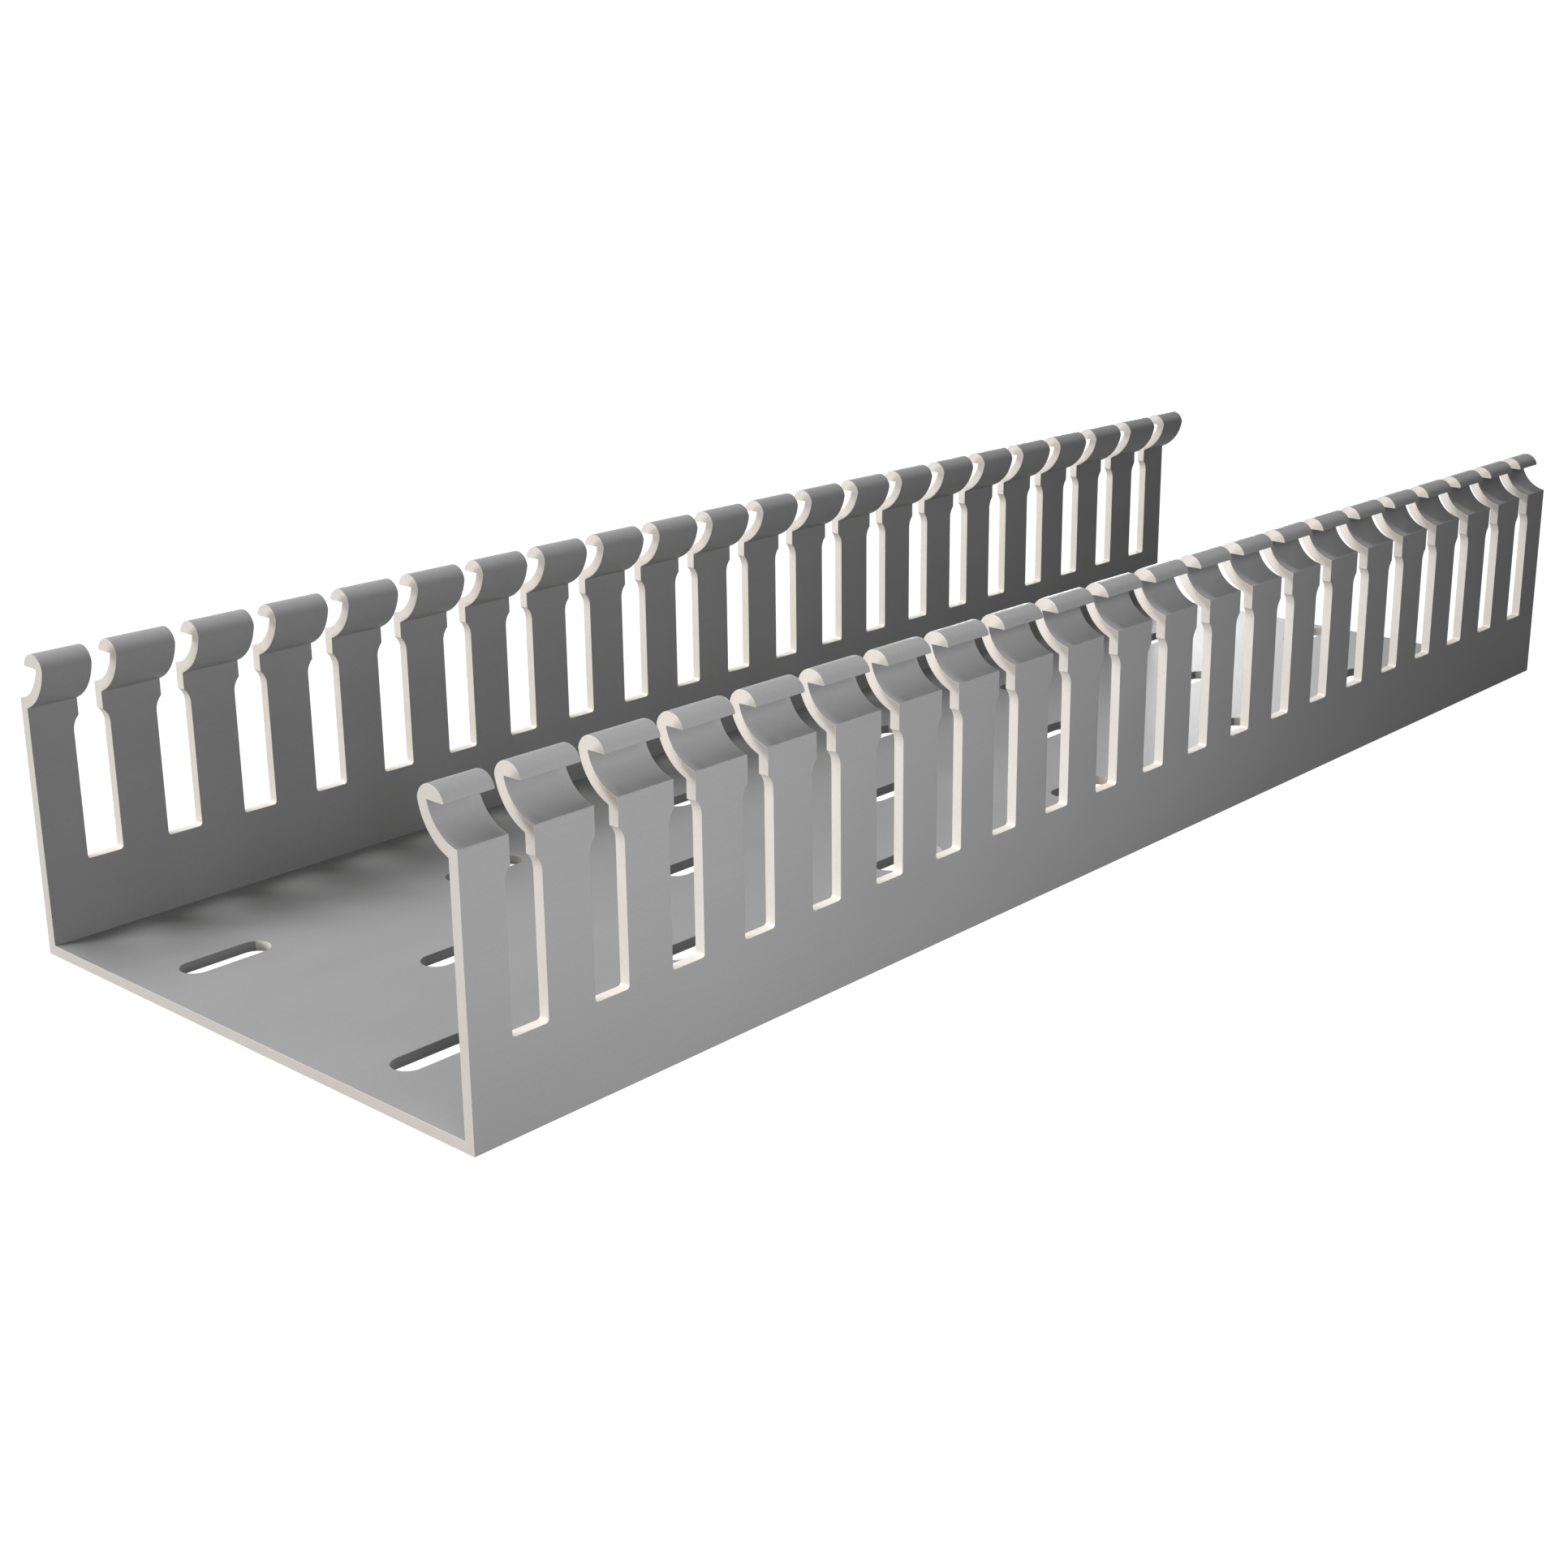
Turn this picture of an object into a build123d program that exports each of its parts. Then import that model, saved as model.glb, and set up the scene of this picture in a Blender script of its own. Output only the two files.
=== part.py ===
from build123d import *
import math
import os

# Slotted wire duct: one cut length of the open trunking, extruded in one piece, without its cover.
# The section is a flat base with two thin walls, and each wall ends in a head that curls inwards
# and carries a lip on its outer side, which the cover snaps over. Narrow slots divide both walls
# into fingers for the cables, and oblong slots in the base take the fixing screws.
# Millimetres. Origin: middle of the underside. +X along the duct, +Y across it, +Z up.

# Overall size
LENGTH = 300.0
WIDTH = 100.0
HEIGHT = 48.0

# Section
WALL = 1.8
BASE = 1.7
LIP_CROWN = 2.15
LIP_SETBACK = 2.1
LIP_EDGE_R = 0.2
GROOVE_R = 6.45
GROOVE_SETOUT = 1.0
GROOVE_DROP = 1.0

# Wall slots
FINGER_PITCH = 14.0
SLOT_WIDTH = 6.0
NECK_WIDTH = 4.0
END_FINGER = 7.0
SLOT_FLOOR = 13.9
SLOT_CORNER_R = 0.5
SLOT_ROUND_DROP = 13.7

# Base slots
FIXING_LENGTH = 15.0
FIXING_WIDTH = 5.0
FIXING_PITCH = 50.0
FIXING_START = 7.0
FIXING_END_LAND = 2.0
ROW_PITCH = 25.0

# Cutters pass this far beyond the faces that they cut
OVERRUN = 1.0

# Places that follow from the sizes
lip_z = HEIGHT - LIP_CROWN
groove_z = HEIGHT - GROOVE_DROP
curl_r = GROOVE_R + WALL
slot_round_z = HEIGHT - SLOT_ROUND_DROP


def groove_point(radius, inward):
    """Point of a curl arc at a distance inwards from the wall's outer face."""
    return inward, groove_z - math.sqrt(radius ** 2 - (inward + GROOVE_SETOUT) ** 2)


def groove_point_at(radius, height):
    """Point of a curl arc at a height above the underside."""
    return math.sqrt(radius ** 2 - (groove_z - height) ** 2) - GROOVE_SETOUT, height


def half_section(side):
    """Edges of one wall with its head, and the tip of its lip, for the side at -Y or +Y."""
    shoulder = groove_point(GROOVE_R, 0.0)
    hook = groove_point_at(GROOVE_R, lip_z)
    tip = (LIP_SETBACK, lip_z)
    crease = groove_point_at(curl_r, lip_z)
    crown = ((tip[0] + crease[0]) / 2, HEIGHT)
    inner_shoulder = groove_point(curl_r, WALL)
    groove_middle = groove_point(GROOVE_R, (shoulder[0] + hook[0]) / 2)
    curl_middle = groove_point(curl_r, (inner_shoulder[0] + crease[0]) / 2)

    def at(point):
        return side * (WIDTH / 2 - point[0]), point[1]

    edges = [
        Line(at((WIDTH / 2, 0.0)), at((0.0, 0.0))),
        Line(at((0.0, 0.0)), at(shoulder)),
        ThreePointArc(at(shoulder), at(groove_middle), at(hook)),
        Line(at(hook), at(tip)),
        ThreePointArc(at(tip), at(crown), at(crease)),
        ThreePointArc(at(crease), at(curl_middle), at(inner_shoulder)),
        Line(at(inner_shoulder), at((WALL, BASE))),
        Line(at((WALL, BASE)), at((WIDTH / 2, BASE))),
    ]
    return edges, Vector(*at(tip))


def duct_section():
    """Closed outline of the section: across the duct, then up."""
    near_edges, near_tip = half_section(-1)
    far_edges, far_tip = half_section(1)
    section = make_face(Curve() + near_edges + far_edges)
    tips = [section.vertices().sort_by_distance(tip)[0] for tip in (near_tip, far_tip)]
    return fillet(tips, LIP_EDGE_R)


def wall_slot():
    """Outline of a wall slot about its middle: wide below, round at its top, with a neck upwards."""
    wide = Pos(0, (SLOT_FLOOR + slot_round_z) / 2) * Rectangle(SLOT_WIDTH, slot_round_z - SLOT_FLOOR)
    wide = fillet(wide.vertices().sort_by(Axis.Y)[:2], SLOT_CORNER_R)
    neck_top = HEIGHT + OVERRUN
    neck = Pos(0, (slot_round_z + neck_top) / 2) * Rectangle(NECK_WIDTH, neck_top - slot_round_z)
    return wide + Pos(0, slot_round_z) * Circle(SLOT_WIDTH / 2) + neck


def run_of_slots(first_start, slot, pitch, end_land):
    """Middles, along the duct, of the slots that fit whole between its ends."""
    room = LENGTH - first_start - slot - end_land
    count = max(0, math.floor(room / pitch + 1e-6) + 1)
    return [first_start + slot / 2 + index * pitch - LENGTH / 2 for index in range(count)]


section = Plane.YZ * duct_section()
duct = extrude(section, amount=LENGTH / 2, both=True)

wall_cutter = extrude(Plane.XZ * wall_slot(), amount=WIDTH / 2 + OVERRUN, both=True)
wall_slots = run_of_slots(END_FINGER, SLOT_WIDTH, FINGER_PITCH, END_FINGER)
duct -= [Pos(middle, 0, 0) * wall_cutter for middle in wall_slots]

fixing = Pos(0, 0, -OVERRUN) * SlotOverall(FIXING_LENGTH, FIXING_WIDTH)
fixing_cutter = extrude(fixing, amount=BASE + 2 * OVERRUN)
outer_row = run_of_slots(FIXING_START, FIXING_LENGTH, FIXING_PITCH, FIXING_END_LAND)
middle_start = FIXING_START + FIXING_PITCH / 2
middle_row = run_of_slots(middle_start, FIXING_LENGTH, FIXING_PITCH, FIXING_END_LAND)
rows = [(-ROW_PITCH, outer_row), (0.0, middle_row), (ROW_PITCH, outer_row)]
duct -= [Pos(middle, across, 0) * fixing_cutter for across, row in rows for middle in row]

os.makedirs("parts", exist_ok=True)
export_step(duct, "parts/duct_channel.step")
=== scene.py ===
import logging
import math
from dataclasses import dataclass, field
from enum import IntEnum

import bpy
import numpy as np
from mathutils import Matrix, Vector


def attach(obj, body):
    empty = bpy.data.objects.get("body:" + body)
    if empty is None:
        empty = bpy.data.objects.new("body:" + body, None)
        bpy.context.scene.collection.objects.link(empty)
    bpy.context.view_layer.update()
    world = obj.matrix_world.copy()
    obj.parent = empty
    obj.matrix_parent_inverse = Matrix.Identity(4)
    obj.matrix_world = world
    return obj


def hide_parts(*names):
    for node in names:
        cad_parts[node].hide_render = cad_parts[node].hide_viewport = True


# Slotted wire duct: the looks of one cut length of open trunking. The whole duct is one closed
# surface, worked out in millimetres from grids and written to the mesh in metres.

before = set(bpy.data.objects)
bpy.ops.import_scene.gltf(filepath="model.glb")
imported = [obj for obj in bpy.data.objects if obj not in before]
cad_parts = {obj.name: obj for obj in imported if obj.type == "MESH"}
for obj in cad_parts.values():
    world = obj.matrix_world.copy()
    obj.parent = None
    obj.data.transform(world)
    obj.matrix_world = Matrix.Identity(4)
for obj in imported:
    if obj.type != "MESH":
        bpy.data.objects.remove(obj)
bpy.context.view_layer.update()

MM = 0.001
QUARTER_TURN = math.pi / 2
MIRROR = np.array([-1.0, 1.0])
WHITE = (1.0, 1.0, 1.0, 1.0)

# Corners weld on a lattice of this many millimetres. The shift, in steps of the lattice, keeps
# the duct's round sizes away from the places where the rounding turns over.
WELD_GRID = 1e-4
WELD_SHIFT = 0.1234

# Part of a pitch by which a last slot may seem too long through rounding
FIT_SLACK = 1e-6

# Turns at which an oblong goes from a straight side to a half circle and back
OBLONG_CORNERS = np.arange(5.0)

# What nearly all of a noise lies between
NOISE_RANGE = (0.3, 0.7)

Array = np.ndarray
Socket = bpy.types.NodeSocket
Pair = tuple[float, float]
Triple = tuple[float, float, float]

# Points and the ways that the surface faces at them
Surface = tuple[Array, Array]

# Sockets to link and values to set, by the name or number of a node's input
Inputs = dict[str | int, object]

log = logging.getLogger("wire_duct")


class Finish(IntEnum):
    """The duct's two finishes; the value is the material slot."""

    SKIN = 0
    CUT = 1


class Side(IntEnum):
    """The two walls; the value is the sign of their place across the duct."""

    NEAR = -1
    FAR = 1


# Curves and surfaces


def shares(segments: int) -> Array:
    """Shares of a way from 0 to 1 in even steps."""
    return np.linspace(0.0, 1.0, segments + 1)


def spatial(along: Array | float, across: Array | float, up: Array | float) -> Array:
    """Points or facings from their three coordinates, stretched to one shape."""
    return np.stack(np.broadcast_arrays(along, across, up), -1)


@dataclass
class Run:
    """A run of points in a plane, with the way that the surface faces at each and its mitre.

    A point moved against its mitre by a depth stays on the parallel run at that depth.
    """

    points: Array
    facing: Array
    mitre: Array | None = None

    def __post_init__(self) -> None:
        """Where no mitre is given it is the facing, which holds for smooth runs."""
        if self.mitre is None:
            self.mitre = self.facing.copy()

    def backwards(self) -> "Run":
        """The same run from its last point to its first."""
        return Run(self.points[::-1], self.facing[::-1], self.mitre[::-1])

    def carried(self, along: Array) -> Surface:
        """The run of a section carried along the duct: points at every place, and facings."""
        return (spatial(along, self.points[:, :1], self.points[:, 1:]),
                spatial(0.0, self.facing[:, :1], self.facing[:, 1:]))


def even_run(across: Array | float, up: Array | float, facing: Pair) -> Run:
    """A run of points, from their two coordinates, that all face the same way."""
    points = np.stack(np.broadcast_arrays(across, up), -1)
    return Run(points, np.tile(np.asarray(facing, float), (len(points), 1)))


def straight_run(start: Pair, end: Pair, segments: int, facing: Pair) -> Run:
    """Straight line as a run: the start plus even shares of the way to the end."""
    way = np.asarray(end) - np.asarray(start)
    return even_run(*(np.asarray(start) + shares(segments)[:, None] * way).T, facing)


def arc_run(centre: Pair, radius: float, start: float, end: float, segments: int,
            outwards: bool = True) -> Run:
    """Arc as a run: the centre plus the radius times the cosine and sine of even angles.

    Args:
        centre: middle of the arc.
        radius: its radius.
        start: first angle in radians.
        end: last angle in radians.
        segments: number of even steps between them.
        outwards: whether the surface faces away from the centre.

    Returns:
        The run, one point more than there are segments.
    """
    angles = np.linspace(start, end, segments + 1)
    rays = np.stack([np.cos(angles), np.sin(angles)], axis=-1)
    return Run(np.asarray(centre) + radius * rays, rays if outwards else -rays)


def joined(*runs: Run) -> Run:
    """Runs end to end as one, with each shared point kept once.

    Args:
        runs: the runs, each starting where the one before it ends.

    Returns:
        The one run.
    """
    parts = [(run.points[1:], run.facing[1:], run.mitre[1:]) for run in runs[1:]]
    first = (runs[0].points, runs[0].facing, runs[0].mitre)
    return Run(*(np.concatenate(arrays) for arrays in zip(first, *parts)))


def corner_mitre(first: Array, second: Array) -> Array:
    """Mitre of a corner: the sum of the two facings over one plus their dot product."""
    return (first + second) / (1.0 + float(first @ second))


@dataclass(frozen=True)
class EdgeRoll:
    """The small round between the skin and a cut, a quarter circle."""

    radius: float = 0.10
    segments: int = 2

    def profile(self) -> tuple[Array, Array, Array]:
        """The quarter circle from the skin to the cut.

        At a turn t the inset from the cut is the radius times (1 - sin t), and the depth under
        the skin is the radius times (1 - cos t).

        Returns:
            Inset, depth and turn, each one step per column.
        """
        turn = np.linspace(0.0, QUARTER_TURN, self.segments + 1)
        return self.radius * (1 - np.sin(turn)), self.radius * (1 - np.cos(turn)), turn

    def facing(self, skin: Array, cut: Array) -> Array:
        """Facings over the roll: cos t times the skin's facing plus sin t times the cut's."""
        turn = self.profile()[2][:, None]
        return np.cos(turn) * skin + np.sin(turn) * cut

    def carried(self, run: Run, along: Array, cut: float) -> Surface:
        """The roll carried along a run of the section, under which it sinks against the mitres.

        Args:
            run: the run.
            along: place along the duct at each column.
            cut: sign of the way that the cut faces along the duct.

        Returns:
            Points and facings by row, column and coordinate.
        """
        sunk = run.points[:, None] - self.profile()[1][:, None] * run.mitre[:, None]
        skin = run.carried(along)[1]
        return (spatial(along, sunk[..., 0], sunk[..., 1]),
                self.facing(skin, np.array([cut, 0.0, 0.0])))


def face_to_face(first: Surface, second: Surface) -> Surface:
    """Two rolls as one surface: the columns of the first, then the second's in reverse."""
    return tuple(np.concatenate([one, other[:, ::-1]], axis=1)
                 for one, other in zip(first, second))


@dataclass
class Patch:
    """A surface over two parameters: points on a grid and the way that it faces at each."""

    points: Array
    facing: Array
    finish: Finish
    keep: Array | None = None


@dataclass
class Shell:
    """Patches that close into one solid skin, with the roll that its edges have."""

    roll: EdgeRoll
    patches: list[Patch] = field(default_factory=list)

    def add(self, points: Array, facing: Array, finish: Finish, keep: Array | None = None) -> None:
        """Adds a grid of points in millimetres, or a stack of them, with all or some cells."""
        self.patches.append(Patch(points, np.broadcast_to(facing, points.shape), finish, keep))

    def add_cut(self, points: Array, facing: Array, rolls: int) -> None:
        """Adds a cut face with rolled edges: the skin goes half way round a roll.

        Args:
            points: grid whose first columns go over a roll, and its last ones if there are two.
            facing: way out of the material, of a shape that stretches to that of the points.
            rolls: number of rolled edges, 0 to 2.
        """
        facing = np.broadcast_to(facing, points.shape)
        end, half_way = points.shape[-2] - 1, self.roll.segments // 2
        first, last = half_way * (rolls > 0), end - half_way * (rolls > 1)
        for start, stop, finish in ((0, first, Finish.SKIN), (first, last, Finish.CUT),
                                    (last, end, Finish.SKIN)):
            if stop > start:
                part = slice(start, stop + 1)
                self.add(points[..., part, :], facing[..., part, :], finish)

    @staticmethod
    def _cells(grid: Array) -> Array:
        """Corners of every cell in turn: each value with its next along both parameters."""
        return np.stack([grid[:, :-1, :-1], grid[:, 1:, :-1], grid[:, 1:, 1:], grid[:, :-1, 1:]],
                        axis=3)

    def _faces(self, patch: Patch) -> Surface:
        """Cells of a patch as corner points and facings, turned to go round the facing.

        Args:
            patch: the patch.

        Returns:
            Corner points and corner facings by face, corner and coordinate.
        """
        rows, columns = patch.points.shape[-3:-1]
        corners = self._cells(patch.points.reshape(-1, rows, columns, 3))
        facings = self._cells(patch.facing.reshape(-1, rows, columns, 3))
        if patch.keep is not None:
            chosen = np.broadcast_to(patch.keep, corners.shape[:3])
            corners, facings = corners[chosen], facings[chosen]
        corners, facings = corners.reshape(-1, 4, 3), facings.reshape(-1, 4, 3)
        across = np.cross(corners[:, 2] - corners[:, 0], corners[:, 3] - corners[:, 1])
        inwards = np.einsum("fi,fi->f", across, facings.sum(axis=1)) < 0
        corners[inwards] = corners[inwards, ::-1]
        facings[inwards] = facings[inwards, ::-1]
        return corners, facings

    def to_mesh(self, name: str) -> bpy.types.Mesh:
        """Welds the patches and writes them to a mesh in metres.

        Corners that round to the same step of a fine lattice become one vertex. A cell with
        two equal corners in a row becomes a triangle.

        Args:
            name: name of the mesh.

        Returns:
            The mesh, with the patches' facings as its normals.
        """
        made = [self._faces(patch) for patch in self.patches]
        corners, facings = (np.concatenate(arrays) for arrays in zip(*made))
        finish = np.repeat([patch.finish for patch in self.patches],
                           [len(points) for points, _ in made])
        lattice = np.round(corners.reshape(-1, 3) / WELD_GRID + WELD_SHIFT).astype(np.int64)
        _, first, index = np.unique(lattice, axis=0, return_index=True, return_inverse=True)
        vertices = corners.reshape(-1, 3)[first] * MM
        index = index.reshape(-1, 4)
        distinct = index != np.roll(index, -1, axis=1)
        quads, triangles = (distinct.sum(axis=1) == count for count in (4, 3))
        picked = distinct & triangles[:, None]
        faces = index[quads].tolist() + index[picked].reshape(-1, 3).tolist()
        normals = np.concatenate([facings[quads].reshape(-1, 3), facings[picked]])
        normals /= np.linalg.norm(normals, axis=1, keepdims=True)

        mesh = bpy.data.meshes.new(name)
        mesh.from_pydata(vertices.tolist(), [], faces)
        slots = np.concatenate([finish[quads], finish[triangles]]).astype(np.int32)
        mesh.polygons.foreach_set("material_index", slots)
        mesh.polygons.foreach_set("use_smooth", np.ones(len(faces), bool))
        mesh.update()
        mesh.normals_split_custom_set(normals.tolist())
        return mesh


# Sizes


@dataclass(frozen=True)
class SheetFace:
    """One face of the duct's sheet: its place in a wall, its height in the base and its way.

    The way is -1 for the outer face, which faces outwards and down, and 1 for the inner one.
    """

    inward: float
    height: float
    way: float

    def sunk(self, depth: Array) -> Surface:
        """Places in a wall and heights in the base that lie at a depth under the face."""
        return self.inward - self.way * depth, self.height - self.way * depth


@dataclass(frozen=True)
class DuctSizes:
    """Sizes of the duct in millimetres, the same as those of its solid."""

    length: float = 300.0
    width: float = 100.0
    height: float = 48.0
    wall: float = 1.8
    base: float = 1.7
    slot_pitch: float = 14.0
    slot_width: float = 6.0
    neck_width: float = 4.0
    end_finger: float = 7.0
    slot_floor: float = 13.9
    slot_corner: float = 0.5
    slot_round_drop: float = 13.7
    fixing_length: float = 15.0
    fixing_width: float = 5.0
    fixing_pitch: float = 50.0
    fixing_start: float = 7.0
    fixing_land: float = 2.0
    row_pitch: float = 25.0
    roll: EdgeRoll = EdgeRoll()

    def faces(self) -> tuple[SheetFace, SheetFace]:
        """The outer and the inner face of the sheet."""
        return SheetFace(0.0, 0.0, -1.0), SheetFace(self.wall, self.base, 1.0)

    def at_side(self, side: Side, points: Array, facing: Array) -> Surface:
        """A wall's patch, from along, inwards and up, in the duct's frame.

        A point at a distance inwards from the outer face lies across the duct at the side's
        sign times what is left of half the width.
        """
        across = side * (self.width / 2 - points[..., 1])
        return (spatial(points[..., 0], across, points[..., 2]),
                np.broadcast_to(facing, points.shape) * np.array([1.0, -side, 1.0]))

    def middles(self, start: float, slot: float, pitch: float, land: float) -> Array:
        """Middles of the slots that fit whole between a start and a land at the far end."""
        count = math.floor((self.length - start - slot - land) / pitch + FIT_SLACK) + 1
        return start + slot / 2 + pitch * np.arange(count) - self.length / 2

    def wall_slots(self) -> Array:
        """Middles of the wall slots."""
        return self.middles(self.end_finger, self.slot_width, self.slot_pitch, self.end_finger)

    def fixing_slots(self) -> list[Pair]:
        """Middles of the fixing slots: the middle row is half a pitch on.

        Returns:
            Places along and across the duct.
        """
        outer, middle = (self.middles(self.fixing_start + later, self.fixing_length,
                                      self.fixing_pitch, self.fixing_land)
                         for later in (0.0, self.fixing_pitch / 2))
        rows = ((-self.row_pitch, outer), (0.0, middle), (self.row_pitch, outer))
        return [(float(along), across) for across, row in rows for along in row]


# Walls


@dataclass(frozen=True)
class HeadSection:
    """Section of a wall's curled head: distance inwards from the outer face, and height."""

    sizes: DuctSizes
    foot_height: float = 38.0
    groove_radius: float = 6.45
    groove_setout: float = 1.0
    groove_drop: float = 1.0
    lip_crown: float = 2.15
    lip_setback: float = 2.1
    lip_edge: float = 0.2
    shoulder_round: float = 0.15
    round_segments: int = 3
    curl_segments: int = 12
    crown_segments: int = 16

    def _side_run(self, face: SheetFace) -> Run:
        """One face of the head, from its foot to the height of the lip.

        A line up the wall, a small round that touches it, and an arc about a point outside the
        wall. The arc of the outer face is the groove, and the curl is parallel to it, one wall
        thickness further out.

        Args:
            face: the face of the sheet.

        Returns:
            The run.
        """
        centre = (-self.groove_setout, self.sizes.height - self.groove_drop)
        drop = centre[1] - (self.sizes.height - self.lip_crown)
        radius = self.groove_radius + face.inward
        inward = face.inward + self.shoulder_round
        height = centre[1] - math.sqrt((radius + self.shoulder_round) ** 2
                                       - (inward - centre[0]) ** 2)
        turn = math.atan2(centre[1] - height, centre[0] - inward)
        outer = face.way < 0
        return joined(
            straight_run((face.inward, self.foot_height), (face.inward, height), 1,
                         (face.way, 0.0)),
            arc_run((inward, height), self.shoulder_round, math.pi, turn, self.round_segments,
                    outwards=outer),
            arc_run(centre, radius, turn - math.pi, -math.asin(drop / radius),
                    self.curl_segments, outwards=not outer))

    def runs(self) -> tuple[Run, Run, Run]:
        """The head's outline in three runs.

        The crown is the arc through the lip's tip, the top and the crease, with a small round
        at the tip that touches it and the lip's underside.

        Returns:
            The outer run from the foot to the hook under the lip, the crown from the hook round
            the lip to the crease, and the inner run from the foot to the crease.
        """
        outer, inner = (self._side_run(face) for face in self.sizes.faces())
        hook, crease = outer.points[-1], inner.points[-1]
        lip_height = self.sizes.height - self.lip_crown
        half_span = (crease[0] - self.lip_setback) / 2
        radius = (half_span ** 2 + self.lip_crown ** 2) / (2 * self.lip_crown)
        top = (self.lip_setback + half_span, self.sizes.height - radius)
        edge_height = lip_height + self.lip_edge
        reach = radius - self.lip_edge
        edge_inward = top[0] - math.sqrt(reach ** 2 - (edge_height - top[1]) ** 2)
        edge_turn = math.atan2(edge_height - top[1], edge_inward - top[0])
        crown = joined(
            straight_run(hook, (edge_inward, lip_height), 1, (0.0, -1.0)),
            arc_run((edge_inward, edge_height), self.lip_edge, 3 * QUARTER_TURN, edge_turn,
                    self.round_segments),
            arc_run(top, radius, edge_turn, math.asin((lip_height - top[1]) / radius),
                    self.crown_segments))
        outer.mitre[-1] = crown.mitre[0] = corner_mitre(outer.facing[-1], crown.facing[0])
        inner.mitre[-1] = crown.mitre[-1] = corner_mitre(inner.facing[-1], crown.facing[-1])
        return outer, crown, inner


@dataclass(frozen=True)
class SlotOutline:
    """Outline of a wall slot and of the lines parallel to it, seen along the duct."""

    sizes: DuctSizes
    corner_segments: int = 4
    round_segments: int = 8
    floor_segments: int = 4

    def rising(self, inset: Array) -> Surface:
        """One side of the slot from its floor to the foot of its neck.

        A corner arc is followed by the arc of the slot's round top, which stops where it meets
        the neck. The inset widens every radius.

        Args:
            inset: distances from the cut, one for each column.

        Returns:
            Points from the slot's middle and the facings into the slot, by row and column.
        """
        sizes = self.sizes
        half, neck = sizes.slot_width / 2, sizes.neck_width / 2
        corner = sizes.slot_corner + inset
        corner_turn = QUARTER_TURN * (shares(self.corner_segments)[:, None]
                                      - np.ones_like(inset))
        neck_turn = np.arccos((neck + inset) / (half + inset))
        top_turn = shares(self.round_segments)[:, None] * neck_turn
        along = np.concatenate([half - sizes.slot_corner + corner * np.cos(corner_turn),
                                (half + inset) * np.cos(top_turn)])
        up = np.concatenate([
            sizes.slot_floor + sizes.slot_corner + corner * np.sin(corner_turn),
            sizes.height - sizes.slot_round_drop + (half + inset) * np.sin(top_turn)])
        turn = np.concatenate([corner_turn, top_turn])
        return np.stack([along, up], -1), -np.stack([np.cos(turn), np.sin(turn)], -1)

    def skin_side(self) -> Array:
        """Points of one side of the slot where the skin ends, an edge roll from the cut."""
        return self.rising(np.array([self.sizes.roll.radius]))[0][:, 0]

    def wide_part(self, inset: Array) -> Surface:
        """The slot below its neck, down one side, over the floor and up the other.

        Args:
            inset: distances from the cut, one for each column.

        Returns:
            Points from the slot's middle and the facings into the slot, by row and column.
        """
        points, facing = self.rising(inset)
        share = shares(self.floor_segments)[1:-1, None, None]
        floor = points[0] + share * (points[0] * MIRROR - points[0])
        up = np.broadcast_to([0.0, 1.0], floor.shape)
        return (np.concatenate([points[::-1], floor, points * MIRROR]),
                np.concatenate([facing[::-1], up, facing * MIRROR]))


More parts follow.
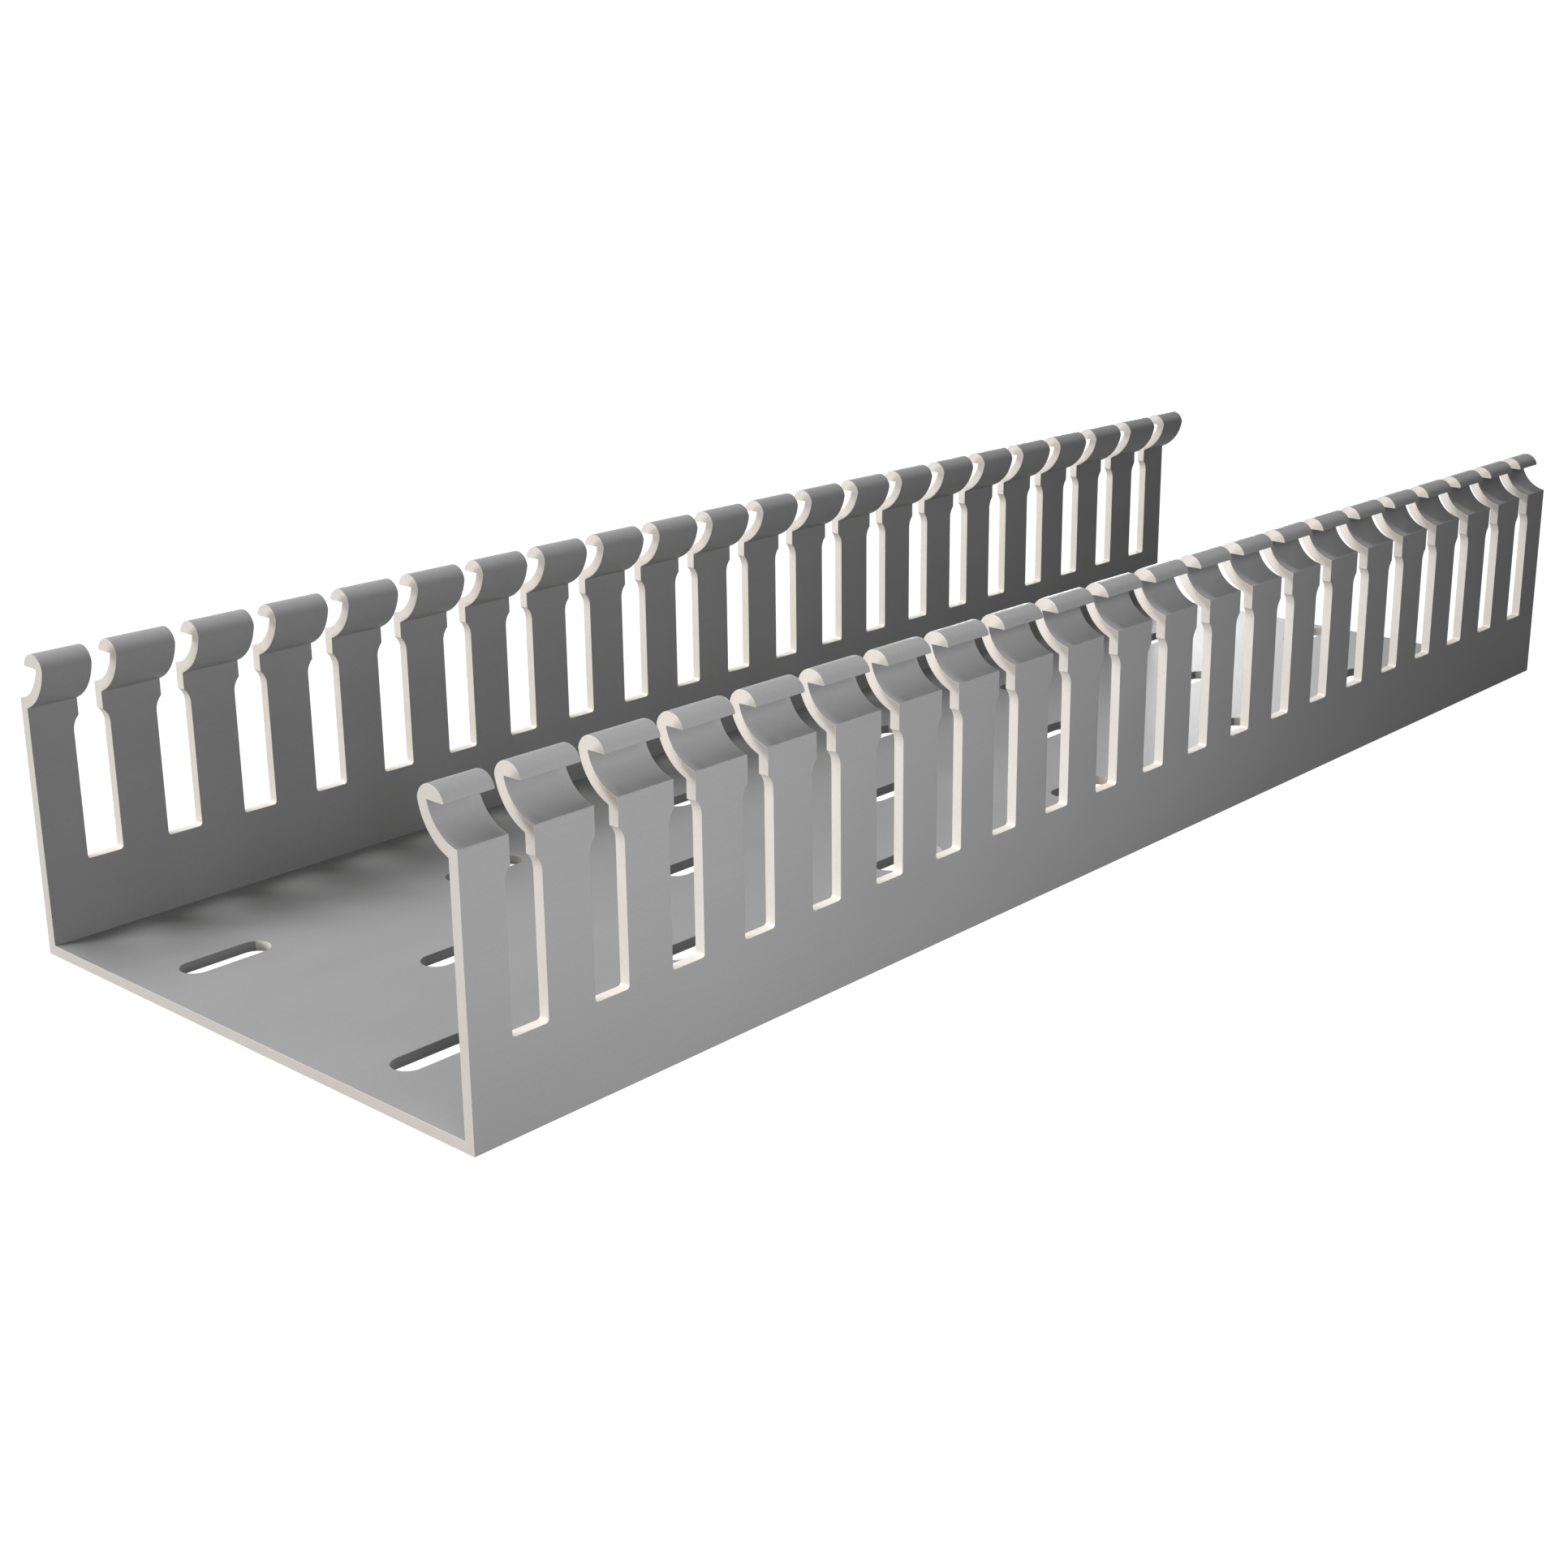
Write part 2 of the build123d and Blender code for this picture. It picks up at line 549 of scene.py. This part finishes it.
@dataclass(frozen=True)
class SlottedWall:
    """One wall with its fingers, their curled heads and the cut faces between them."""

    sizes: DuctSizes
    head: HeadSection
    outline: SlotOutline
    side: Side
    finger_segments: int = 6

    def finger_ends(self, rows: Array) -> Surface:
        """Where each finger starts and stops along the duct.

        Args:
            rows: half width of the slots at each row.

        Returns:
            Starts and stops by finger and row.
        """
        limit = np.full((1, len(rows)), self.sizes.length / 2 - self.sizes.roll.radius)
        middles = self.sizes.wall_slots()[:, None]
        return (np.concatenate([-limit, middles + rows]),
                np.concatenate([middles - rows, limit]))

    def columns(self) -> Array:
        """Lines that run round the duct under the fingers and the slots.

        Returns:
            Places along the duct, from its near end on.
        """
        start, stop = self.finger_ends(self.outline.skin_side()[:1, 0])
        fingers = start + shares(self.finger_segments) * (stop - start)
        floors = stop[:-1] + shares(self.outline.floor_segments)[1:-1] * (start[1:] - stop[:-1])
        return np.sort(np.concatenate([fingers.ravel(), floors.ravel()]))

    def shafts(self) -> list[Run]:
        """Outer and inner face of a finger, from the slot's floor to the foot of the head."""
        heights = np.append(self.outline.skin_side()[:, 1], self.head.foot_height)
        return [even_run(face.inward, heights, (face.way, 0.0)) for face in self.sizes.faces()]

    def build(self, shell: Shell) -> None:
        """Adds the whole wall above its slot floors to a shell."""
        self._add_fingers(shell)
        self._add_slot_cuts(shell)

    def _add_fingers(self, shell: Shell) -> None:
        """Adds the skin of the fingers: section runs carried from one slot to the next.

        A point lies at a share of the way from the finger's start to its stop, at the row's
        place in the section.

        Args:
            shell: the shell.
        """
        outer, crown, inner = self.head.runs()
        outer, inner = (joined(*runs) for runs in zip(self.shafts(), (outer, inner)))
        wide = self.outline.skin_side()[:, 0]
        neck = self.sizes.neck_width / 2 + self.sizes.roll.radius
        for run, foot in ((outer, wide), (crown, wide[:0]), (inner, wide)):
            rows = np.concatenate([foot, np.full(len(run.points) - len(foot), neck)])
            start, stop = self.finger_ends(rows)
            way = (stop - start)[..., None]
            along = start[..., None] + shares(self.finger_segments) * way
            shell.add(*self.sizes.at_side(self.side, *run.carried(along)), Finish.SKIN)

    def _add_slot_cuts(self, shell: Shell) -> None:
        """Adds the cut faces of the slots: in their wide parts the roll, the cut and the roll
        again, carried along the outline, and then the flat faces of the necks and heads.

        Args:
            shell: the shell.
        """
        inset, depth, _ = self.sizes.roll.profile()
        points, into = self.outline.wide_part(inset)
        cut = spatial(into[..., 0], 0.0, into[..., 1])
        rolls = [(spatial(points[..., 0], face.sunk(depth)[0], points[..., 1]),
                  self.sizes.roll.facing(np.array([0.0, face.way, 0.0]), cut))
                 for face in self.sizes.faces()]
        self._add_at_slots(shell, *face_to_face(*rolls), 2)
        foot = self.outline.rising(inset)[0][-1, :, 1]
        for sign in (-1.0, 1.0):
            along = sign * (self.sizes.neck_width / 2 + inset)
            for patch in self.head_cut(along, -sign, foot):
                self._add_at_slots(shell, *patch)

    def _add_at_slots(self, shell: Shell, points: Array, facing: Array, rolls: int) -> None:
        """Adds copies of a cut face at every slot: its points plus the slot's middle."""
        moved = points + spatial(self.sizes.wall_slots(), 0.0, 0.0)[:, None, None]
        shell.add_cut(*self.sizes.at_side(self.side, moved, facing), rolls)

    def head_cut(self, along: Array, cut: float,
                 foot: Array | None = None) -> list[tuple[Array, Array, int]]:
        """Cut face of one head: rolls along its outline and the flat face between them.

        Below the lip the face spans from the outer run to the inner one. The crown's face is a
        ladder whose rungs join the points that are equally far from the hook and the crease.

        Args:
            along: place along the duct at each column of the roll.
            cut: sign of the way that the cut faces along the duct.
            foot: height of the neck's foot at each column, or None to start at the head.

        Returns:
            Points, facings and number of rolled edges of three patches, as along, inwards
            and up.
        """
        roll = self.sizes.roll
        outer, crown, inner = self.head.runs()
        sides = []
        for face, run in zip(self.sizes.faces(), (outer, inner)):
            points, facing = roll.carried(run, along, cut)
            if foot is not None:
                first = spatial(along, face.sunk(roll.profile()[1])[0], foot)[None]
                points = np.concatenate([first, points])
                facing = np.concatenate([facing[:1], facing])
            sides.append((points, facing))
        lip = roll.carried(crown, along, cut)
        rim = lip[0][:, -1]
        half = len(rim) // 2 + 1
        ladder = np.stack([rim[:half], rim[::-1][:half]], axis=1)
        return [(*face_to_face(*sides), 2), (*lip, 1), (ladder, np.array([cut, 0.0, 0.0]), 0)]


# Base


@dataclass(frozen=True)
class BasePlate:
    """The base with its fixing slots, and the low bands of wall that join it to the fingers."""

    sizes: DuctSizes
    columns: Array
    corner_round: float = 0.15
    round_segments: int = 3
    band_segments: int = 3
    cell_half: float = 4.0
    cell_segments: int = 8
    cell_margin: float = 1.5
    gap_segments: int = 4
    strip_half: float = 44.0
    strip_segments: int = 3
    ring_segments: int = 2
    skin_share: float = 0.16

    def corner_runs(self) -> list[Run]:
        """Outer and inner section from the slot floors down to the flat of the base.

        Each is a straight line down the wall and a quarter arc, about a centre in the wall for
        the outer corner and in the channel for the inner one.

        Returns:
            The two runs: distance inwards from the outer face, and height.
        """
        top, rounding = self.sizes.slot_floor - self.sizes.roll.radius, self.corner_round
        runs = []
        for face in self.sizes.faces():
            foot = face.height + rounding
            runs.append(joined(
                straight_run((face.inward, top), (face.inward, foot), self.band_segments,
                             (face.way, 0.0)),
                arc_run((face.inward + rounding, foot), rounding, math.pi, 3 * QUARTER_TURN,
                        self.round_segments, outwards=face.way < 0)))
        return runs

    def rows(self) -> Array:
        """Lines along the base: fine ones past the fixing slots and wide ones between.

        Returns:
            Places across the duct, from the near side on.
        """
        cells = [(across - self.cell_half, across + self.cell_half)
                 for across in (-self.sizes.row_pitch, 0.0, self.sizes.row_pitch)]
        stops = [-self.strip_half, *np.ravel(cells), self.strip_half]
        cell, gap = self.cell_segments, self.gap_segments
        counts = [self.strip_segments, cell, gap, cell, gap, cell, self.strip_segments]
        parts = [np.linspace(start, stop, count + 1)[1:]
                 for start, stop, count in zip(stops[:-1], stops[1:], counts)]
        return np.concatenate([stops[:1], *parts])

    def span(self, face: SheetFace) -> Array:
        """Places of the lines along one face of the base, from corner round to corner round."""
        end = self.sizes.width / 2 - face.inward - self.corner_round
        return np.concatenate([[-end], self.rows(), [end]])

    def build(self, shell: Shell) -> None:
        """Adds the bands of wall, both faces of the base and the fixing slots.

        Args:
            shell: the shell.
        """
        for side in Side:
            for run in self.corner_runs():
                band = self.sizes.at_side(side, *run.carried(self.columns))
                shell.add(*band, Finish.SKIN)
        middles = self.sizes.fixing_slots()
        cells = [self._cell(middle) for middle in middles]
        for face in self.sizes.faces():
            span = self.span(face)
            keep = np.ones((len(span) - 1, len(self.columns) - 1), bool)
            for first, last, low, high in cells:
                keep[low + 1:high + 1, first:last] = False
            shell.add(spatial(self.columns, span[:, None], face.height),
                      np.array([0.0, 0.0, face.way]), Finish.SKIN, keep)
        for middle, cell in zip(middles, cells):
            self._add_fixing_slot(shell, middle, cell)

    def _cell(self, middle: Pair) -> tuple[int, int, int, int]:
        """The rectangle of grid lines round a fixing slot.

        Args:
            middle: the slot's place, along and across.

        Returns:
            First and last column, and first and last row.
        """
        reach = self.sizes.fixing_length / 2 + self.sizes.roll.radius + self.cell_margin
        first, last = np.searchsorted(self.columns, [middle[0] - reach, middle[0] + reach])
        low, high = (np.argmin(abs(self.rows() - middle[1] - way * self.cell_half))
                     for way in (-1, 1))
        return first - 1, last, low, high

    def _oblong(self, turn: Array, radius: Array) -> Surface:
        """Oblong slot line: two straight sides joined by half circles.

        Args:
            turn: place on the line; 0 to 1 is the near side, 1 to 2 the far end's half circle,
                2 to 3 the other side and 3 to 4 the first half circle.
            radius: half width of the line at each column.

        Returns:
            Points from the slot's middle and the facings into the slot, by row and column.
        """
        half = (self.sizes.fixing_length - self.sizes.fixing_width) / 2
        angle = QUARTER_TURN * np.interp(turn, OBLONG_CORNERS, [-1.0, -1.0, 1.0, 1.0, 3.0])
        middle = half * np.interp(turn, OBLONG_CORNERS, [-1.0, 1.0, 1.0, -1.0, -1.0])[:, None]
        ray = np.stack([np.cos(angle), np.sin(angle)], -1)[:, None, :]
        points = radius[None, :, None] * ray
        points[..., 0] += middle
        return points, np.broadcast_to(-ray, points.shape)

    def _add_fixing_slot(self, shell: Shell, middle: Pair,
                         cell: tuple[int, int, int, int]) -> None:
        """Adds a fixing slot: its sides, and the rings that join it to both faces of the base.

        A ring runs from the rectangle of the cell to the oblong: the share of the way inwards
        mixes the two closed lines, whose corners are matched by the order of their points. The
        end that faces back along the duct is bare like the cut ends, but for a share of its
        half circle at either side, and the rest has the skin.

        Args:
            shell: the shell.
            middle: the slot's place, along and across.
            cell: first and last column and row of the cell.
        """
        sizes, (first, last, low, high) = self.sizes, cell
        grid = np.stack(np.meshgrid(self.columns[first:last + 1], self.rows()[low:high + 1]), -1)
        ring = np.concatenate([grid[0], grid[1:, -1], grid[-1, -2::-1], grid[-2::-1, 0]])
        half = (sizes.fixing_length - sizes.fixing_width) / 2
        left, right = (np.argmin(abs(grid[0, :, 0] - middle[0] - way * half))
                       for way in (-1, 1))
        # A point of the near side lies opposite the one whose index makes this sum with its own
        total = len(ring) - 1
        opposite = total - len(grid) + 1
        stops = [0, right - left, opposite - right - left, opposite - 2 * left, total]
        turn = np.interp((np.arange(total + 1) - left) % total, stops, OBLONG_CORNERS)

        inset, depth, _ = sizes.roll.profile()
        line, into = self._oblong(turn, sizes.fixing_width / 2 + inset)
        line = line + np.asarray(middle)
        cut = spatial(into[..., 0], into[..., 1], 0.0)
        flat = ring + shares(self.ring_segments)[:, None, None] * (line[:, 0] - ring)
        rolls = []
        for face in reversed(sizes.faces()):
            level, way = face.sunk(depth)[1], np.array([0.0, 0.0, face.way])
            shell.add(spatial(flat[..., 0], flat[..., 1], level[0]), way, Finish.SKIN)
            rolls.append((spatial(line[..., 0], line[..., 1], level),
                          sizes.roll.facing(way, cut)))
        points, facing = face_to_face(*rolls)
        bare = np.flatnonzero((turn >= 1 + self.skin_share) & (turn <= 2 - self.skin_share))
        for part in (slice(0, bare[0] + 1), slice(bare[-1], total + 1)):
            shell.add(points[part], facing[part], Finish.SKIN)
        part = slice(bare[0], bare[-1] + 1)
        shell.add_cut(points[part], facing[part], 2)


# Ends


@dataclass(frozen=True)
class SawnEnds:
    """The two ends of the length, where the saw went through the whole section."""

    sizes: DuctSizes
    wall: SlottedWall
    plate: BasePlate

    def sections(self) -> list[Run]:
        """Outer and inner section between the heads' feet, down, across the base and up.

        Returns:
            The two runs, with as many points each: distance across, and height.
        """
        runs = []
        for face, shaft, low in zip(self.sizes.faces(), self.wall.shafts(),
                                    self.plate.corner_runs()):
            half = joined(shaft.backwards(), low)
            near = Run(half.points - np.array([self.sizes.width / 2, 0.0]), half.facing)
            flat = even_run(self.plate.span(face), face.height, (0.0, face.way))
            far = Run(near.points * MIRROR, near.facing * MIRROR).backwards()
            runs.append(joined(near, flat, far))
        return runs

    def build(self, shell: Shell) -> None:
        """Adds both end faces: the roll, the cut and the roll again, carried down one wall,
        over the base and up the other, with the heads' faces above.

        Args:
            shell: the shell.
        """
        inset = self.sizes.roll.profile()[0]
        for end in (-1.0, 1.0):
            along = end * (self.sizes.length / 2 - inset)
            rolls = [self.sizes.roll.carried(run, along, end) for run in self.sections()]
            shell.add_cut(*face_to_face(*rolls), 2)
            for side in Side:
                for points, facing, count in self.wall.head_cut(along, end):
                    shell.add_cut(*self.sizes.at_side(side, points, facing), count)


# Finishes


@dataclass(frozen=True)
class Layer:
    """One noise of a finish, and what it does to colour, roughness and relief.

    The scale is in cycles for each metre along, across and up, and the fineness is the strength
    of the fine octaves. The tint is the share of the light colour that the noise brings, and
    the rough values are what it adds to the roughness at its low and its high end. The depth
    of its relief is in metres.
    """

    scale: Triple
    octaves: float
    fineness: float
    tint: float
    rough: Pair | None = None
    depth: float = 0.0


@dataclass
class Nodes:
    """Short calls that lay out the nodes of one material or world."""

    tree: bpy.types.NodeTree

    @classmethod
    def started(cls, owner: bpy.types.Material | bpy.types.World, shader: str,
                output: str) -> tuple["Nodes", bpy.types.Node]:
        """Empties the nodes of a material or world, and gives it a shader and an output.

        Args:
            owner: the material or world.
            shader: the shader node's type.
            output: the output node's type.

        Returns:
            The calls for the nodes, and the shader node.
        """
        owner.use_nodes = True
        owner.node_tree.nodes.clear()
        nodes = cls(owner.node_tree)
        made = nodes.node(shader)
        nodes.node(output, {"Surface": made.outputs[0]})
        return nodes, made

    def fill(self, node: bpy.types.Node, inputs: Inputs) -> None:
        """Sets a node's inputs: a socket is linked, and anything else is the input's value.

        Args:
            node: the node.
            inputs: sockets and values by the input's name or number.
        """
        for name, value in inputs.items():
            if isinstance(value, Socket):
                self.tree.links.new(value, node.inputs[name])
            else:
                node.inputs[name].default_value = value

    def node(self, kind: str, inputs: Inputs | None = None, **settings: object) -> bpy.types.Node:
        """A new node with its settings and inputs.

        Args:
            kind: the node's type.
            inputs: sockets and values by the input's name or number.
            settings: its properties by name.

        Returns:
            The node.
        """
        made = self.tree.nodes.new(kind)
        for name, value in settings.items():
            setattr(made, name, value)
        self.fill(made, inputs or {})
        return made

    def noise(self, place: Socket, layer: Layer) -> Socket:
        """A layer's noise, around one half, on stretched object coordinates."""
        stretched = self.node("ShaderNodeMapping", {"Vector": place, "Scale": layer.scale})
        return self.node("ShaderNodeTexNoise", {
            "Vector": stretched.outputs["Vector"], "Scale": 1.0, "Detail": layer.octaves,
            "Roughness": layer.fineness}).outputs["Fac"]

    def ranged(self, value: Socket, source: Pair, result: Pair, **settings: object) -> Socket:
        """A value taken from its source's low and high end to the result's."""
        return self.node("ShaderNodeMapRange", {
            "Value": value, "From Min": source[0], "From Max": source[1],
            "To Min": result[0], "To Max": result[1]}, **settings).outputs["Result"]

    def math(self, operation: str, *values: Socket) -> Socket:
        """One value from some by an operation: the first two, then what they give and the next.

        Args:
            operation: the operation's name.
            values: the values.

        Returns:
            The result.
        """
        result = values[0]
        for value in values[1:]:
            made = self.node("ShaderNodeMath", {0: result, 1: value}, operation=operation)
            result = made.outputs["Value"]
        return result

    def tint(self, value: Socket, dark: Triple, light: Triple) -> Socket:
        """A colour between two by a value from 0 to 1.

        Args:
            value: the share of the light colour.
            dark: colour at 0.
            light: colour at 1.

        Returns:
            The colour.
        """
        mix = self.node("ShaderNodeMix", {"Factor": value}, data_type="RGBA")
        entries = (socket for socket in mix.inputs if socket.type == "RGBA")
        for entry, colour in zip(entries, (dark, light)):
            entry.default_value = (*colour, 1.0)
        return next(socket for socket in mix.outputs if socket.type == "RGBA")

    def relief(self, height: Socket, depth: float, before: Socket | None) -> Socket:
        """Normal of a bump with a depth in metres, which lies on the bump before it if any."""
        below = {} if before is None else {"Normal": before}
        return self.node("ShaderNodeBump", {
            "Strength": 1.0, "Distance": depth, "Height": height, **below}).outputs["Normal"]


def new_material(name: str) -> tuple[bpy.types.Material, Nodes, bpy.types.Node]:
    """An empty material with the calls for its nodes and its shader node."""
    material = bpy.data.materials.new(name)
    return material, *Nodes.started(material, "ShaderNodeBsdfPrincipled",
                                    "ShaderNodeOutputMaterial")


@dataclass(frozen=True)
class PvcFinish:
    """A finish of the plastic, in which noises on object coordinates drive the look."""

    name: str
    dark: Triple
    light: Triple
    specular: float
    layers: tuple[Layer, ...]

    def build(self) -> bpy.types.Material:
        """Builds the material.

        The layers' tints add up to the share of the light colour, and their rough values to the
        roughness. Their reliefs lie on one another in the layers' order.

        Returns:
            The material.
        """
        material, nodes, shader = new_material(self.name)
        place = nodes.node("ShaderNodeTexCoord").outputs["Object"]
        tints, roughs, normal = [], [], None
        for layer in self.layers:
            noise = nodes.noise(place, layer)
            tints.append(nodes.ranged(noise, NOISE_RANGE, (0.0, layer.tint)))
            if layer.rough is not None:
                roughs.append(nodes.ranged(noise, NOISE_RANGE, layer.rough))
            if layer.depth > 0:
                normal = nodes.relief(noise, layer.depth, normal)
        nodes.fill(shader, {
            "Base Color": nodes.tint(nodes.math("ADD", *tints), self.dark, self.light),
            "Roughness": nodes.math("ADD", *roughs),
            "Specular IOR Level": self.specular,
            "Normal": normal})
        return material


@dataclass(frozen=True)
class ExtrudedSkin(PvcFinish):
    """Satin grey skin of the extrusion: faint draw lines along it, soft mottling, fine grain."""

    name: str = "grey_pvc_skin"
    dark: Triple = (0.308, 0.308, 0.308)
    light: Triple = (0.348, 0.348, 0.349)
    specular: float = 0.05
    layers: tuple[Layer, ...] = (
        Layer((3.0, 1400.0, 1400.0), 2.0, 0.55, tint=0.15, rough=(0.0, 0.05), depth=2e-6),
        Layer((22.0, 60.0, 60.0), 3.0, 0.5, tint=0.50),
        Layer((2600.0, 2600.0, 2600.0), 2.0, 0.6, tint=0.35, rough=(0.40, 0.46), depth=2e-6),
    )


@dataclass(frozen=True)
class BareCut(PvcFinish):
    """Pale bare plastic where the duct is cut: upright marks of the tool, clouds, speckle."""

    name: str = "bare_pvc_cut"
    dark: Triple = (0.66, 0.62, 0.56)
    light: Triple = (0.74, 0.705, 0.65)
    specular: float = 0.15
    layers: tuple[Layer, ...] = (
        Layer((500.0, 500.0, 2600.0), 2.0, 0.5, tint=0.2, depth=3e-6),
        Layer((160.0, 160.0, 160.0), 2.0, 0.5, tint=0.3),
        Layer((3400.0, 3400.0, 3400.0), 3.0, 0.65, tint=0.5, rough=(0.55, 0.68), depth=5e-6),
    )


def new_object(name: str, data: bpy.types.ID, place: Triple = (0.0, 0.0, 0.0),
               way: Triple | Vector | None = None) -> bpy.types.Object:
    """A new object in the scene.

    Args:
        name: its name.
        data: its mesh, camera or light.
        place: its place in metres.
        way: way that it looks along its own -Z, or None to leave it unturned.

    Returns:
        The object.
    """
    made = bpy.data.objects.new(name, data)
    made.location = place
    if way is not None:
        made.rotation_euler = Vector(way).to_track_quat("-Z", "Y").to_euler()
    bpy.context.scene.collection.objects.link(made)
    return made


# The duct


@dataclass(frozen=True)
class DuctChannel:
    """The whole duct as one closed piece in place of its solid."""

    sizes: DuctSizes = DuctSizes()
    skin: ExtrudedSkin = ExtrudedSkin()
    cut: BareCut = BareCut()

    def build(self) -> bpy.types.Object:
        """Builds the walls, the base and the sawn ends and welds them.

        Returns:
            The duct's object, at the origin.
        """
        head, outline = HeadSection(self.sizes), SlotOutline(self.sizes)
        walls = [SlottedWall(self.sizes, head, outline, side) for side in Side]
        plate = BasePlate(self.sizes, walls[0].columns())
        shell = Shell(self.sizes.roll)
        for wall in walls:
            wall.build(shell)
            log.info("%s wall: %d slots", wall.side.name.lower(), len(self.sizes.wall_slots()))
        plate.build(shell)
        log.info("base: %d fixing slots", len(self.sizes.fixing_slots()))
        SawnEnds(self.sizes, walls[0], plate).build(shell)
        return new_object("duct_channel_body", shell.to_mesh("duct_channel_body"))

    def dress(self, duct: bpy.types.Object) -> None:
        """Gives the duct its finishes and its place in the frame.

        Args:
            duct: the duct's object.
        """
        for finish in (self.skin, self.cut):
            duct.data.materials.append(finish.build())
        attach(duct, "root")
        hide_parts("duct_channel")


# Camera, floor and light


@dataclass(frozen=True)
class PhotoCamera:
    """The camera at the photograph's viewpoint, in metres and millimetres of sensor."""

    place: Triple = (-0.30584, -0.24796, 0.13132)
    aim: Triple = (0.7224, 0.62431, -0.29729)
    lens: float = 50.82
    sensor: float = 36.0
    shift: Pair = (-0.04848, -0.02752)
    near_clip: float = 0.01

    def build(self) -> bpy.types.Object:
        """Makes the camera the scene's own.

        Returns:
            The camera's object.
        """
        data = bpy.data.cameras.new("photo_camera")
        data.lens, data.sensor_width = self.lens, self.sensor
        data.shift_x, data.shift_y = self.shift
        data.clip_start = self.near_clip
        camera = new_object("photo_camera", data, self.place, self.aim)
        bpy.context.scene.camera = camera
        return camera


@dataclass(frozen=True)
class SoftLamp:
    """A square area lamp that looks at the duct, in metres and watts, hidden from the eye."""

    name: str
    place: Triple
    size: float
    power: float
    target: Triple = (-0.05, 0.0, 0.02)

    def build(self) -> bpy.types.Object:
        """Makes the lamp and turns it to its target.

        Returns:
            The lamp's object.
        """
        data = bpy.data.lights.new(self.name, "AREA")
        data.shape = "SQUARE"
        data.size, data.energy = self.size, self.power
        lamp = new_object(self.name, data, self.place, Vector(self.target) - Vector(self.place))
        lamp.visible_camera = False
        return lamp


@dataclass(frozen=True)
class Studio:
    """White floor, white surround and soft lamps."""

    floor_half: float = 3.0
    floor_height: float = -0.0002
    floor_colour: float = 0.15
    # Glow of the floor near the duct, and the distances over which it rises to full white: painted
    # shade round the duct that turns into painted light farther off
    painted_shade_glow: float = 0.97
    painted_shade_reach: Pair = (0.25, 0.9)
    lamps: tuple[SoftLamp, ...] = (
        SoftLamp("key_above", (-0.16, 0.19, 0.50), 0.2, 2.0),
        SoftLamp("key_end", (-0.50, 0.25, 0.40), 0.2, 1.2),
        SoftLamp("side_end", (-0.90, 0.50, 0.20), 0.2, 4.6),
        SoftLamp("fill_front", (-0.03, -0.18, 0.13), 0.08, 0.086),
        SoftLamp("fill_near", (-0.184, -0.17, 0.051), 0.08, 0.108),
        SoftLamp("fill_low", (-0.10, -0.20, 0.04), 0.1, 0.092),
        SoftLamp("back_high", (0.80, -0.10, 0.40), 0.3, 0.8),
        SoftLamp("back_corner", (0.70, 0.45, 0.04), 0.2, 6.0),
    )

    @staticmethod
    def _seen(nodes: Nodes) -> Socket:
        """1 where the camera, a reflection or glass sees the surface, else 0."""
        path = nodes.node("ShaderNodeLightPath")
        return nodes.math("MAXIMUM", *(path.outputs[f"Is {kind} Ray"]
                                       for kind in ("Camera", "Glossy", "Transmission")))

    def build_floor(self) -> bpy.types.Object:
        """The floor: a sheet that glows to the eye, less near the duct as painted shade that lets
        the duct's shadow show, and full white farther off as painted light where the lamps' light
        fades.

        Returns:
            The floor's object.
        """
        corners = self.floor_half * np.array([[-1, -1], [1, -1], [1, 1], [-1, 1]])
        places = spatial(corners[:, 0], corners[:, 1], self.floor_height)
        mesh = bpy.data.meshes.new("studio_floor")
        mesh.from_pydata(places.tolist(), [], [[0, 1, 2, 3]])
        floor = new_object("studio_floor", mesh)
        material, nodes, shader = new_material("studio_white")
        place = nodes.node("ShaderNodeTexCoord").outputs["Object"]
        # The floor's glow grows with the distance from the duct's middle: painted shade near the
        # duct, painted light far off
        distance = nodes.node("ShaderNodeVectorMath", {0: place}, operation="LENGTH")
        painted_glow = nodes.ranged(distance.outputs["Value"], self.painted_shade_reach, (self.painted_shade_glow, 1.0),
                            interpolation_type="SMOOTHSTEP")
        nodes.fill(shader, {
            "Base Color": (*[self.floor_colour] * 3, 1.0),
            "Roughness": 1.0,
            "Specular IOR Level": 0.0,
            "Emission Color": WHITE,
            "Emission Strength": nodes.math("MULTIPLY", self._seen(nodes), painted_glow)})
        mesh.materials.append(material)
        return floor

    def build_surround(self) -> None:
        """The world: white where it is seen, and no light elsewhere."""
        world = bpy.data.worlds.new("studio_surround")
        nodes, shader = Nodes.started(world, "ShaderNodeBackground", "ShaderNodeOutputWorld")
        nodes.fill(shader, {"Color": WHITE, "Strength": self._seen(nodes)})
        bpy.context.scene.world = world

    def build(self) -> None:
        """Makes the floor, the surround and the lamps, and sets the view transform."""
        self.build_floor()
        self.build_surround()
        for lamp in self.lamps:
            lamp.build()
        bpy.context.scene.view_settings.view_transform = "Standard"


def main() -> None:
    """Builds the duct, the camera and the studio."""
    logging.basicConfig(level=logging.INFO, format="%(name)s: %(message)s")
    channel = DuctChannel()
    duct = channel.build()
    channel.dress(duct)
    log.info("%s: %d vertices, %d faces", duct.name, len(duct.data.vertices),
             len(duct.data.polygons))
    PhotoCamera().build()
    Studio().build()
    log.info("camera, floor and lamps are in place")


if __name__ == "__main__":
    main()
